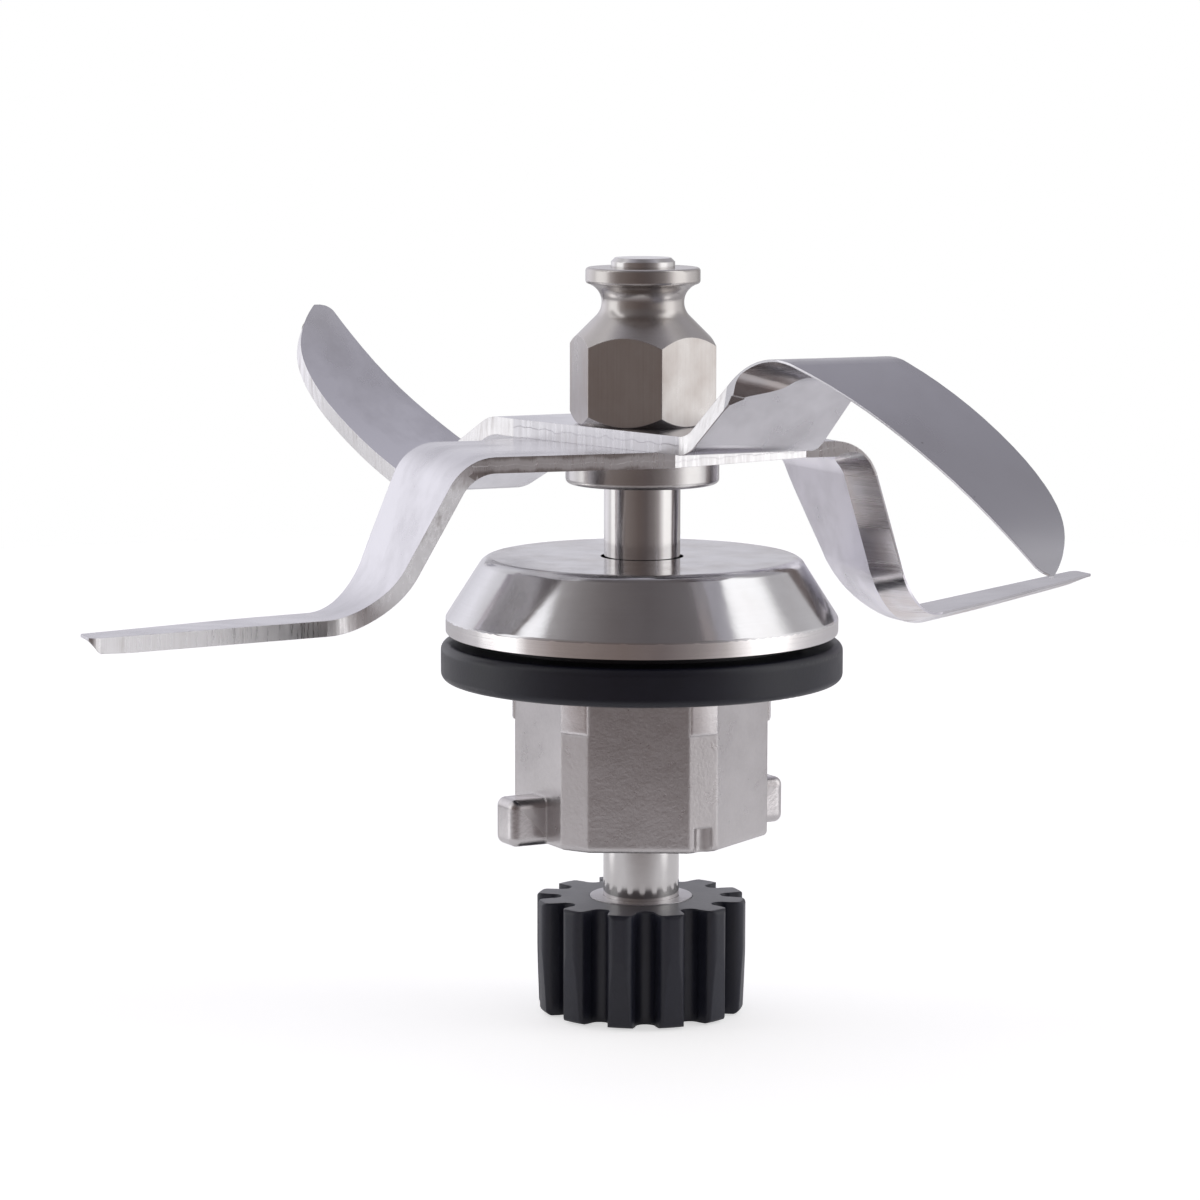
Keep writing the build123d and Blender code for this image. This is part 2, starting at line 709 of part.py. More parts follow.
# Upper blade
upper_middle = lower_blade_top + upper_blade_thickness / 2
front_taper = radians(upper_hub_aim - front_arm_aim)
front_foot = (upper_hub_half_width * sin(front_taper), -upper_hub_half_width * cos(front_taper))
rear_taper = radians(upper_hub_aim + 180 - rear_arm_aim)
rear_foot = (upper_hub_half_width * sin(rear_taper), -upper_hub_half_width * cos(rear_taper))
front_sweep_start = front_crest_start + front_crest_radius * radians(abs(front_crest_angle))
rear_sweep_start = rear_rise_start + rear_rise_radius * radians(abs(rear_rise_angle))
front_bends = (
    (front_rise_start, front_rise_radius, front_rise_angle),
    (front_crest_start, front_crest_radius, front_crest_angle),
    (front_sweep_start, front_sweep_radius, front_sweep_angle),
)
rear_bends = (
    (rear_dip_start, rear_dip_radius, rear_dip_angle),
    (rear_rise_start, rear_rise_radius, rear_rise_angle),
    (rear_sweep_start, rear_sweep_radius, rear_sweep_angle),
)
front_lead = [front_foot] + list(front_lead_edge)
front_trail = [(-front_foot[0], -front_foot[1])] + list(front_trail_edge)
rear_lead = [rear_foot] + list(rear_lead_edge)
rear_trail = [(-rear_foot[0], -rear_foot[1])] + list(rear_trail_edge)
front_arm = Arm(front_arm_aim, front_bends, front_lead, front_trail, upper_blade_thickness, upper_middle)
front_arm.grind(
    upper_bevel_width, front_bevel_start, front_reach, front_tip_start, front_tip_radius, front_tip_nose
)
rear_arm = Arm(rear_arm_aim, rear_bends, rear_lead, rear_trail, upper_blade_thickness, upper_middle)
rear_arm.grind(
    upper_bevel_width, rear_bevel_start, rear_reach, rear_tip_start, rear_tip_radius, rear_tip_nose
)
upper_blade = blade((front_arm, rear_arm), lower_blade_top, upper_blade_top)

# One file for each piece
pieces = {
    "shaft": shaft,
    "top_nut": top_nut,
    "upper_blade": upper_blade,
    "lower_blade": lower_blade,
    "blade_collar": blade_collar,
    "bearing_housing": bearing_housing,
    "sealing_ring": sealing_ring,
    "seal_case": seal_case,
    "seal_lip": seal_lip,
    "garter_spring": garter_spring,
    "spacer_sleeve": spacer_sleeve,
    "bearing_circlip": bearing_circlip,
    "shaft_clip_upper": shaft_clip_upper,
    "shaft_clip_lower": shaft_clip_lower,
    "drive_gear": drive_gear,
    "gear_insert": gear_insert,
}
for place, level in (("upper", upper_bearing_bottom), ("lower", lower_bearing_bottom)):
    for name, shape in ball_bearing(level).items():
        pieces[f"{place}_bearing_{name}"] = shape
for name, shape in pieces.items():
    export_step(shape, f"parts/{name}.step")
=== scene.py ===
import bmesh
import bpy
from math import cos, pi, radians, sin
from mathutils import Matrix, Vector

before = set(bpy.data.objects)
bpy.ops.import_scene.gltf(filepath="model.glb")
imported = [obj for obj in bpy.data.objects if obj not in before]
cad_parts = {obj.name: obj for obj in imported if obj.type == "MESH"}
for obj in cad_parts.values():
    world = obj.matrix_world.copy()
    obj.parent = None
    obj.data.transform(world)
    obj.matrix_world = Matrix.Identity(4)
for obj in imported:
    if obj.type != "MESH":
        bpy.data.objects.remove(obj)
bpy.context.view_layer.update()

# Shaft: ground and polished round bar of stainless steel, held by the two bearings.
# Below the housing it is left satin, and its flatted and threaded top carries the blades and the nut.
polished_steel_colour = (0.66, 0.645, 0.64, 1)
polished_steel_roughness = (0.10, 0.17)
shaft_satin_level = 0.030
shaft_satin_roughness = 0.09
smudge_colour = (0.42, 0.38, 0.36, 1)
dark_ring_colour = (0.46, 0.45, 0.45, 1)
turning_line_pitch = 0.00011


def wire(tree, kind, *values, settings=None, out=0, **named):
    """Adds one shader node, feeds its sockets with values or links, and returns one of its outputs."""
    made = tree.nodes.new("ShaderNode" + kind)
    for key, value in (settings or {}).items():
        setattr(made, key, value)
    sockets = list(enumerate(values)) + [(key.replace("_", " "), value) for key, value in named.items()]
    for key, value in sockets:
        if isinstance(value, bpy.types.NodeSocket):
            tree.links.new(value, made.inputs[key])
        elif value is not None:
            made.inputs[key].default_value = value
    return made.outputs[out]


def sums(tree, operation, *values):
    """One step of arithmetic on plain values."""
    return wire(tree, "Math", *values, settings={"operation": operation})


def tint(tree, share, first, second, mode="MIX"):
    """Colour between two others by a share."""
    made = tree.nodes.new("ShaderNodeMix")
    made.data_type = "RGBA"
    made.blend_type = mode
    for key, value in ((0, share), (6, first), (7, second)):
        if isinstance(value, bpy.types.NodeSocket):
            tree.links.new(value, made.inputs[key])
        else:
            made.inputs[key].default_value = value
    return made.outputs[2]


def spread(tree, value, low, high, to_low, to_high):
    """Value moved from one range to another and kept inside it."""
    return wire(tree, "MapRange", value, low, high, to_low, to_high)


def grain(tree, size, detail=3, rough=0.55, turn=0.0):
    """Soft noise between 0 and 1, sized in metres along three directions turned about the shaft axis."""
    spot = wire(tree, "TexCoord", out=3)
    size = size if isinstance(size, tuple) else (size, size, size)
    spot = wire(tree, "Mapping", spot, (0, 0, 0), (0, 0, turn), size, settings={"vector_type": "TEXTURE"})
    return wire(tree, "TexNoise", Vector=spot, Scale=1.0, Detail=detail, Roughness=rough)


def specks(tree, spacing, radius):
    """Sparse round specks: 1 in a speck and 0 outside."""
    spot = wire(tree, "TexCoord", out=3)
    away = wire(tree, "TexVoronoi", Vector=spot, Scale=1 / spacing)
    chosen = wire(tree, "TexWhiteNoise", wire(tree, "TexVoronoi", Vector=spot, Scale=1 / spacing, out=2))
    inside_speck = spread(tree, away, radius, radius * 0.5, 0, 1)
    return sums(tree, "MULTIPLY", inside_speck, sums(tree, "GREATER_THAN", chosen, 0.8))


def new_material(name, metal=1.0, coat=0.0, level=0.5):
    """Empty material, its node tree and its shader."""
    material = bpy.data.materials.new(name)
    material.use_nodes = True
    shader = material.node_tree.nodes["Principled BSDF"]
    shader.inputs["Metallic"].default_value = metal
    shader.inputs["Coat Weight"].default_value = coat
    shader.inputs["Specular IOR Level"].default_value = level
    return material, material.node_tree, shader


def straight_out(tree):
    """Direction straight out from the shaft axis, for a narrow edge that is lit like the wall above it."""
    spot = wire(tree, "TexCoord", out=3)
    flat = wire(tree, "VectorMath", spot, (1, 1, 0), settings={"operation": "MULTIPLY"})
    ways = {"vector_type": "NORMAL", "convert_from": "OBJECT", "convert_to": "WORLD"}
    return wire(tree, "VectorTransform", flat, settings=ways)


def dress(tree, shader, colour, roughness, height, relief, edge):
    """Feeds the shader its colour, roughness, raised pattern and edge.

    The edge is the radius that softens it, 0 for edges as drawn, or None for a face lit as if upright.
    """
    facing = straight_out(tree) if edge is None else None
    if edge:
        facing = wire(tree, "Bevel", edge, settings={"samples": 4})
    bump = wire(tree, "Bump", Strength=1.0, Distance=relief, Height=height, Normal=facing)
    tree.links.new(colour, shader.inputs["Base Color"])
    tree.links.new(roughness, shader.inputs["Roughness"])
    tree.links.new(bump, shader.inputs["Normal"])


def put_on(name, *materials, choose=None):
    """Gives a carried-over piece its materials, face by face where there is more than one."""
    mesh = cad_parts[name].data
    mesh.materials.clear()
    for material in materials:
        mesh.materials.append(material)
    for face in mesh.polygons:
        face.material_index = choose(face.center, face.normal) if choose else 0


def turned_steel(name, colour, roughness, smudge, line_relief, edge, wave=0.0, satin_below=None):
    """Stainless steel turned on a lathe: fine rings round the axis, faint blotches and wipe marks."""
    material, tree, shader = new_material(name)
    rings = grain(tree, (0.03, 0.03, turning_line_pitch), 2)
    cloud = grain(tree, 0.006, 4)
    wipes = grain(tree, (0.0025, 0.0025, 0.011), 5, 0.6)
    base = tint(tree, spread(tree, cloud, 0.42, 0.72, 0, smudge), colour, smudge_colour)
    base = tint(tree, spread(tree, rings, 0.3, 0.7, 0, 0.10), base, dark_ring_colour)
    low, high = roughness
    rough = spread(tree, wipes, 0.3, 0.75, low, high)
    if satin_below:
        level = wire(tree, "SeparateXYZ", wire(tree, "TexCoord", out=3), out=2)
        satin = spread(tree, level, satin_below, satin_below - 0.006, 0, shaft_satin_roughness - low)
        rough = sums(tree, "ADD", rough, satin)
    height = sums(tree, "ADD", rings, sums(tree, "MULTIPLY", cloud, wave))
    dress(tree, shader, base, rough, height, line_relief, edge)
    return material


shaft_finish = turned_steel("polished_shaft", polished_steel_colour, polished_steel_roughness, 0.22,
                            0.0000012, 0.00012, wave=12, satin_below=shaft_satin_level)
put_on("shaft", shaft_finish)

# Collar: turned washer of the same bright steel between the shaft's shoulder and the lower blade.
# Its wall shows fine lathe rings.
collar_roughness = (0.17, 0.26)

collar_finish = turned_steel("turned_collar", polished_steel_colour, collar_roughness, 0.35,
                             0.000002, 0.00015)
put_on("blade_collar", collar_finish)

# Top nut: turned from hexagon bar, slightly warm, with flats as drawn and a lathe-cut cone, waist and head.
# The flats carry fine lengthwise drawing lines.
nut_colour = (0.55, 0.525, 0.51, 1)
nut_roughness = (0.19, 0.28)
nut_flat_roughness = (0.24, 0.36)
nut_flats_top = 0.0725
nut_smudge_colour = (0.40, 0.33, 0.29, 1)


def drawn_steel(name, colour, roughness, smudge, line_relief, edge):
    """Flats of drawn bar: lines along the axis and darker clouds where it was handled."""
    material, tree, shader = new_material(name)
    lines = grain(tree, (0.0002, 0.0002, 0.016), 3)
    cloud = grain(tree, (0.0044, 0.0044, 0.007), 5, 0.65)
    base = tint(tree, spread(tree, cloud, 0.38, 0.72, 0, smudge), colour, nut_smudge_colour)
    base = tint(tree, spread(tree, lines, 0.3, 0.7, 0, 0.15), base, (1, 1, 1, 1), "SOFT_LIGHT")
    low, high = roughness
    rough = spread(tree, cloud, 0.3, 0.7, low, high)
    dress(tree, shader, base, rough, lines, line_relief, edge)
    return material


nut_turned = turned_steel("turned_nut", nut_colour, nut_roughness, 0.4, 0.000003, 0.00014)
nut_drawn = drawn_steel("drawn_nut_flats", nut_colour, nut_flat_roughness, 0.45, 0.000004, 0.00014)


def nut_part(centre, normal):
    """Upright faces of the hexagon are drawn flats, and everything else is turned."""
    return 1 if centre.z < nut_flats_top and abs(normal.z) < 0.02 else 0


put_on("top_nut", nut_turned, nut_drawn, choose=nut_part)

# Blades: two pressings of rolled stainless sheet, sheared to outline, ground sharp from below along the
# leading edges, then bent. Flats are satin with faint smudges, bevels show cross grinding, and cut edges
# are streaked. Light and shade are painted into them: each arm side and each blade's bevels get their own
# lighter or darker tone, the upper hub edge is painted darker, and the lower hub edge has a painted dark
# reflection.
sheet_roughness = (0.20, 0.32)
sheet_smudge = (0.40, 0.39, 0.41, 1)
# Painted light and shade: the same ground steel is coloured near white on the lower blade's bevels and mid
# grey on the upper's.
lower_bevel_painted_light = (0.93, 0.915, 0.95, 1)
upper_bevel_painted_shade = (0.50, 0.49, 0.505, 1)
bevel_warm = (0.68, 0.60, 0.57, 1)
bevel_roughness = (0.18, 0.30)
cut_bright = (0.80, 0.79, 0.80, 1)
# Painted shade: the upper blade's hub edge is a darker copy of the bright cut edge.
upper_hub_cut_painted_shade = (0.60, 0.59, 0.62, 1)
cut_dark = (0.50, 0.47, 0.46, 1)
# Painted reflection: the dark colour laid on the left part of the lower hub edge as if it mirrored the dim
# room.
painted_dark_reflection_colour = (0.36, 0.325, 0.315, 1)
cut_roughness = (0.22, 0.40)
tear_swing = 0.0011
blade_edge = 0.00008
hub_half = 0.0012
pit_colour = (0.2, 0.19, 0.19, 1)
scratch_colour = (0.25, 0.22, 0.21, 1)
cut_lean, bevel_lean = 0.72, 0.12


def rolled_sheet(name, colour, turn):
    """Satin sheet with long fine rolling lines, soft smudges and a few tiny pits."""
    material, tree, shader = new_material(name)
    lines = grain(tree, (0.006, 0.00022, 0.002), 3, turn=turn)
    cloud = grain(tree, (0.020, 0.011, 0.012), 5, 0.6, turn)
    base = tint(tree, spread(tree, cloud, 0.45, 0.72, 0, 0.55), colour, sheet_smudge)
    base = tint(tree, sums(tree, "MULTIPLY", specks(tree, 0.004, 0.05), 0.7), base, pit_colour)
    low, high = sheet_roughness
    rough = spread(tree, cloud, 0.3, 0.75, low, high)
    dress(tree, shader, base, rough, lines, 0.0000009, blade_edge)
    return material


def ground_bevel(name, bright, turn, darkness):
    """Ground slope along a leading edge, with marks that cross it and heat-tinted patches."""
    material, tree, shader = new_material(name)
    marks = grain(tree, (0.06, 0.06, 0.00026), 3, 0.6, turn)
    bands = grain(tree, (0.0035, 0.02, 0.0035), 3, 0.5, turn)
    cloud = grain(tree, 0.008, 4)
    base = tint(tree, spread(tree, cloud, 0.42, 0.6, 0, 0.6), bright, bevel_warm)
    in_band = spread(tree, bands, 0.45, 0.6, 0.05, 1)
    streak = sums(tree, "MULTIPLY", spread(tree, marks, 0.52, 0.68, 0, 1), in_band)
    base = tint(tree, sums(tree, "MULTIPLY", streak, darkness), base, scratch_colour)
    low, high = bevel_roughness
    rough = spread(tree, marks, 0.3, 0.7, low, high)
    dress(tree, shader, base, rough, marks, 0.000002, blade_edge)
    return material


def sheared_edge(name, bright, tear_level=None, painted_dark_gap_half=None):
    """Cut edge of the sheet: streaks through it, on the hub a wavy tear line, and on its left a painted dark
    reflection away from the tear line.
    """
    material, tree, shader = new_material(name)
    streaks = grain(tree, (0.00045, 0.00045, 0.006), 4, 0.65)
    cloud = grain(tree, 0.005, 3)
    in_cloud = spread(tree, cloud, 0.42, 0.65, 0.1, 1)
    share = sums(tree, "MULTIPLY", spread(tree, streaks, 0.45, 0.7, 0, 0.8), in_cloud)
    height = streaks
    if tear_level:
        level = wire(tree, "SeparateXYZ", wire(tree, "TexCoord", out=3), out=2)
        swing = sums(tree, "SUBTRACT", grain(tree, (0.0016, 0.0016, 0.05), 4, 0.6), 0.5)
        waved_level = sums(tree, "ADD", level, sums(tree, "MULTIPLY", swing, tear_swing))
        below = spread(tree, waved_level, tear_level, tear_level - 0.00008, 0, 1)
        share = sums(tree, "MULTIPLY", share, spread(tree, below, 0, 1, 0.15, 0.7))
        height = sums(tree, "SUBTRACT", streaks, sums(tree, "MULTIPLY", below, 2.0))
    base = tint(tree, share, bright, cut_dark)
    # Painted reflection: left of the axis and away from the tear line the hub edge is darkened.
    if painted_dark_gap_half:
        side = wire(tree, "SeparateXYZ", wire(tree, "TexCoord", out=3), out=0)
        from_middle = sums(tree, "ABSOLUTE", sums(tree, "SUBTRACT", waved_level, tear_level))
        painted_dark = spread(tree, from_middle, painted_dark_gap_half * 0.55, painted_dark_gap_half, 0, 1)
        painted_dark = sums(tree, "MULTIPLY", painted_dark, spread(tree, side, 0.002, -0.001, 0, 0.85))
        base = tint(tree, painted_dark, base, painted_dark_reflection_colour)
    low, high = cut_roughness
    rough = spread(tree, streaks, 0.3, 0.7, low, high)
    dress(tree, shader, base, rough, height, 0.000008, blade_edge)
    return material


arm_cut = sheared_edge("sheared_arm_edge", cut_bright)


def dress_blade(name, aims, upper_painted_tones, under_painted_tones, land_starts, bevel_painted_tone, hub_tone,
                grinding, tear_level, hub_reach, painted_dark_gap_half=None):
    """Finds flats, bevels and cut edges from each face's direction across its own arm.

    Each arm has its aim, the tones of its two sides, which are painted light and shade, and the distance at
    which its cutting land gets narrow.
    """
    turns = [radians(aim) for aim in aims]
    outward = [Vector((cos(turn), sin(turn), 0)) for turn in turns]
    sideways = [Vector((-way.y, way.x, 0)) for way in outward]

    def part(centre, normal):
        """0 and 1 upper sides, 2 and 3 undersides, 4 and 5 bevels, 6 cut edges, 7 the hub's cut edge."""
        arm = 0 if centre.dot(outward[0]) > centre.dot(outward[1]) else 1
        across = normal.dot(sideways[arm])
        in_hub = Vector((centre.x, centre.y)).length < hub_reach and abs(centre.z - tear_level) < hub_half
        if in_hub and (abs(normal.z) < 0.5 or across < -bevel_lean):
            return 7
        narrow_land = across < 0 and centre.dot(outward[arm]) > land_starts[arm]
        if abs(across) > cut_lean and not narrow_land:
            return 6
        if -cut_lean < across < -bevel_lean:
            return 4 + arm
        return arm + (2 if normal.z < 0 else 0)

    materials = [rolled_sheet(f"{name}_sheet_{i}", upper_painted_tones[i], turns[i]) for i in (0, 1)]
    materials += [rolled_sheet(f"{name}_underside_{i}", under_painted_tones[i], turns[i]) for i in (0, 1)]
    materials += [ground_bevel(f"{name}_bevel_{i}", bevel_painted_tone, turns[i], grinding) for i in (0, 1)]
    hub_cut = sheared_edge(f"{name}_hub_edge", hub_tone, tear_level, painted_dark_gap_half)
    put_on(name, *materials, arm_cut, hub_cut, choose=part)


# Painted light and shade: each arm's upper side and underside get their own lighter or darker tone of the
# same sheet.
dress_blade(
    "lower_blade", aims=(27.26, 203.18),
    upper_painted_tones=((0.58, 0.57, 0.60, 1), (0.70, 0.69, 0.72, 1)),
    under_painted_tones=((0.90, 0.88, 0.94, 1), (0.96, 0.95, 0.97, 1)),
    land_starts=(0.023, 0.023), bevel_painted_tone=lower_bevel_painted_light, hub_tone=cut_bright,
    grinding=0.45, tear_level=0.0594, hub_reach=0.0245, painted_dark_gap_half=0.0007,
)
dress_blade(
    "upper_blade", aims=(-67.43, 115.0),
    upper_painted_tones=((0.47, 0.465, 0.49, 1), (0.74, 0.735, 0.77, 1)),
    under_painted_tones=((0.72, 0.71, 0.745, 1), (0.74, 0.735, 0.77, 1)),
    land_starts=(0.0205, 0.036), bevel_painted_tone=upper_bevel_painted_shade, hub_tone=upper_hub_cut_painted_shade,
    grinding=0.2, tear_level=0.0613, hub_reach=0.0150,
)

# Bearing housing: an investment casting with a fine sand-like skin on its six-sided body and lugs. Its raised
# pads are painted lighter as a highlight.
# The round flange above the seal is machined bright: flat crown, steep cone and a narrow rim, whose wall is
# painted much lighter as a highlight.
cast_colour = (0.66, 0.635, 0.64, 1)
cast_roughness = (0.26, 0.36)
# Painted highlight: the raised pads are coloured much lighter than the cast body.
pad_painted_highlight_colour = (0.92, 0.89, 0.90, 1)
cast_shade = (0.44, 0.42, 0.42, 1)
cast_glint = (0.72, 0.70, 0.70, 1)
machined_colour = (0.64, 0.635, 0.65, 1)
machined_roughness = (0.10, 0.17)
machined_above = 0.0392
groove_top = 0.04016
rim_top = 0.0424
# Painted highlight: the rim wall is coloured far lighter than the rest of the machined flange.
rim_painted_highlight_colour = (0.96, 0.935, 0.93, 1)
rubbed_roughness = (0.15, 0.24)
crown_level = 0.0481
lug_top, lug_from = 0.0245, 0.0138
pad_from, pad_bottom = 0.01345, 0.0311


def cast_skin(name, roughness, relief, colour=cast_colour):
    """Blasted casting: tiny grain, larger soft unevenness and slightly brighter rubbed spots."""
    material, tree, shader = new_material(name)
    sand = grain(tree, 0.00040, 3, 0.6)
    lumps = grain(tree, 0.0024, 4, 0.6)
    cloud = grain(tree, 0.009, 3)
    base = tint(tree, spread(tree, cloud, 0.35, 0.7, 0, 0.4), colour, cast_shade)
    base = tint(tree, spread(tree, sand, 0.35, 0.7, 0, 0.3), base, cast_glint)
    low, high = roughness
    rough = spread(tree, lumps, 0.3, 0.7, low, high)
    height = sums(tree, "ADD", sand, lumps)
    dress(tree, shader, base, rough, height, relief, 0.0004)
    return material


def housing_part(centre, normal):
    """0 cast skin, 1 machined flange, 2 rubbed lugs, 3 groove painted dark as shade, 4 crown, 5 rim painted
    light as a highlight, 6 rubbed pads painted light as a highlight.
    """
    out = Vector((centre.x, centre.y)).length
    if centre.z > crown_level:
        return 4
    if centre.z > machined_above:
        on_rim = centre.z < rim_top and -0.98 < normal.z < 0.1
        return 3 if centre.z < groove_top else 5 if on_rim else 1
    if centre.z > pad_bottom and out > pad_from:
        return 6
    return 2 if centre.z < lug_top and out > lug_from else 0


cast_finish = cast_skin("cast_body", cast_roughness, 0.000022)
rubbed_finish = cast_skin("rubbed_casting", rubbed_roughness, 0.000012)
# The pads are rubbed smoother, and their lighter colour is a painted highlight.
pad_painted_highlight_finish = cast_skin("rubbed_pads_painted_highlight", rubbed_roughness, 0.000008, pad_painted_highlight_colour)
machined_finish = turned_steel("machined_flange", machined_colour, machined_roughness, 0.18, 0.0000015, 0, 16)
# The rim wall uses the lighter colour as a painted highlight.
rim_painted_highlight_finish = turned_steel("rim_wall_painted_highlight", rim_painted_highlight_colour, machined_roughness, 0.18, 0.0000015, None)
crown_finish = turned_steel("handled_crown", machined_colour, (0.13, 0.24), 0.75, 0.0000015, 0, 30)

# Sealing ring: moulded black rubber under the flange. The groove below the rim is painted near black as its
# shade, in a finish like the ring's rubber.
# Satin skin with a fine even grain and a little pale dust.
rubber_colour = (0.0070, 0.0080, 0.0175, 1)
# Painted shade: a near-black colour for the faces of the narrow groove under the rim.
groove_painted_shade_colour = (0.035, 0.036, 0.045, 1)
rubber_roughness = (0.34, 0.44)
dust_colour = (0.35, 0.35, 0.37, 1)


def moulded_black(name, colour, roughness, grain_size, relief, dust, edge):
    """Black rubber or plastic with moulded grain and traces of dust."""
    material, tree, shader = new_material(name, metal=0.0, level=0.5)
    fine = grain(tree, grain_size, 3, 0.6)
    cloud = grain(tree, 0.0065, 4)
    speck = sums(tree, "MULTIPLY", specks(tree, 0.0022, 0.05), dust)
    paler = tuple(c * 1.7 for c in colour[:3]) + (1,)
    base = tint(tree, spread(tree, cloud, 0.35, 0.7, 0, 0.5), colour, paler)
    base = tint(tree, speck, base, dust_colour)
    low, high = roughness
    rough = spread(tree, cloud, 0.3, 0.7, low, high)
    dress(tree, shader, base, rough, fine, relief, edge)
    return material


rubber_finish = moulded_black("seal_rubber", rubber_colour, rubber_roughness, 0.00033, 0.000012, 0.15, 0.0002)
# Painted shade: the groove faces get this near-black rubber so that they read as shadowed.
groove_painted_shade_finish = moulded_black("groove_painted_shade", groove_painted_shade_colour, rubber_roughness, 0.00033, 0.000012, 0.15, 0)
put_on("bearing_housing", cast_finish, machined_finish, rubbed_finish, groove_painted_shade_finish, crown_finish,
       rim_painted_highlight_finish, pad_painted_highlight_finish, choose=housing_part)
put_on("sealing_ring", rubber_finish)
put_on("seal_lip", rubber_finish)

# Drive gear: moulded black glass-filled nylon with rounded teeth.
# Its steel insert is a dull turned sleeve that shows as a ring round the shaft.
nylon_colour = (0.018, 0.0195, 0.032, 1)
nylon_roughness = (0.29, 0.40)
# The crests are coloured a little lighter than the gaps and carry more dust.
crest_colour = (0.020, 0.0215, 0.034, 1)
# Painted light: the upward faces of the gear are coloured lighter as if lit from above.
top_painted_light_colour = (0.078, 0.080, 0.100, 1)
crest_from = 0.0107
insert_colour = (0.80, 0.785, 0.81, 1)
insert_roughness = (0.34, 0.46)

nylon_finish = moulded_black("gear_nylon", nylon_colour, nylon_roughness, 0.00042, 0.000018, 0.25, 0.0003)
insert_finish = turned_steel("dull_insert", insert_colour, insert_roughness, 0.3, 0.000006, 0.0001)
crest_finish = moulded_black("nylon_crests", crest_colour, (0.34, 0.46), 0.00042, 0.000025, 0.5, 0.0003)
# The top's lighter colour is painted light from above.
top_painted_light_finish = moulded_black("nylon_top_painted_light", top_painted_light_colour, (0.27, 0.36), 0.00042, 0.000018, 0.4, 0.0003)


def gear_part(centre, normal):
    """0 is the tooth gaps, 1 the slightly lighter, dustier crests and 2 the top, painted lighter as if lit
    from above.
    """
    return 2 if normal.z > 0.9 else 1 if Vector((centre.x, centre.y)).length > crest_from else 0


put_on("drive_gear", nylon_finish, crest_finish, top_painted_light_finish, choose=gear_part)
put_on("gear_insert", insert_finish)

# Inside the housing: two ball bearings, the sleeve between them, the shaft seal and the retaining rings.
# Ground bearing steel, plain turned steel, spring steel that has been blackened, and pale nylon cages.
bearing_colour = (0.63, 0.63, 0.65, 1)
spring_colour = (0.16, 0.15, 0.15, 1)
cage_colour = (0.55, 0.50, 0.40, 1)

bearing_finish = turned_steel("ground_bearing", bearing_colour, (0.12, 0.2), 0.08, 0.000002, 0.0001)
spring_finish = turned_steel("blackened_spring", spring_colour, (0.30, 0.42), 0.4, 0.000004, 0.00008)
cage_finish = moulded_black("cage_nylon", cage_colour, (0.40, 0.52), 0.0005, 0.00002, 0.0, 0.0001)
inside = {
    "dull_steel": (insert_finish, ["spacer_sleeve", "seal_case", "garter_spring"]),
    "dark_spring_steel": (spring_finish, ["bearing_circlip", "shaft_clip_upper", "shaft_clip_lower"]),
    "cage_plastic": (cage_finish, ["upper_bearing_cage", "lower_bearing_cage"]),
    "bearing_steel": (bearing_finish, [
        f"{place}_bearing_{piece}" for place in ("upper", "lower")
        for piece in ("outer_ring", "inner_ring", "balls", "bottom_shield", "top_shield")
    ]),
}
for slot_name, (finish, names) in inside.items():
    for name in names:
        put_on(name, finish)

# Floor: a pale round table top under the gear. It is almost white to the camera and keeps a soft shadow.
# In reflections its camera side is painted darker as shade, and it glows as painted light round the object
# and in two pools left and right.
floor_radius = 0.30
floor_centre = (0, 0.13)
floor_colour = (0.86, 0.86, 0.87, 1)
# Painted shade: a darker warm colour for the floor's camera side, seen only in reflections.
floor_painted_shade_colour = (0.56, 0.52, 0.51, 1)
dim_from, dim_full = -0.05, -0.10
floor_glow = 0.60
mirrored_glow = 0.28
mirrored_reach = (0.17, 0.10)
pool_spots = ((-0.117, 0.022, 0), (0.116, -0.031, 0))
pool_glow = 0.95
pool_reach = (0.040, 0.020)

floor_shape = bmesh.new()
bmesh.ops.create_circle(floor_shape, cap_ends=True, segments=96, radius=floor_radius)
bmesh.ops.translate(floor_shape, verts=floor_shape.verts, vec=(*floor_centre, -0.0002))
floor_mesh = bpy.data.meshes.new("table_top")
floor_shape.to_mesh(floor_mesh)
floor_shape.free()
floor = bpy.data.objects.new("table_top", floor_mesh)
bpy.context.scene.collection.objects.link(floor)
floor_paint, tree, shader = new_material("table_top", metal=0.0, level=0.2)
mottle = grain(tree, 0.025, 3)
place_on_floor = wire(tree, "TexCoord", out=3)


def near_spot(spot, reach):
    """1 at a spot on the floor, falling to 0 at a distance."""
    away = wire(tree, "VectorMath", place_on_floor, spot, settings={"operation": "DISTANCE"}, out=1)
    return spread(tree, away, *reach, 0, 1)


near_side = spread(tree, wire(tree, "SeparateXYZ", place_on_floor, out=1), dim_from, dim_full, 0, 1)
seen = wire(tree, "LightPath", out=0)
# Painted light: the floor glows round the object and in two pools, only for glossy rays.
around = sums(tree, "MULTIPLY", near_spot((0, 0, 0), mirrored_reach), sums(tree, "SUBTRACT", 1.0, near_side))
glows = sums(tree, "MULTIPLY", around, mirrored_glow)
for spot in pool_spots:
    glows = sums(tree, "ADD", glows, sums(tree, "MULTIPLY", near_spot(spot, pool_reach), pool_glow))
mirrored = sums(tree, "MULTIPLY", wire(tree, "LightPath", out=3), glows)
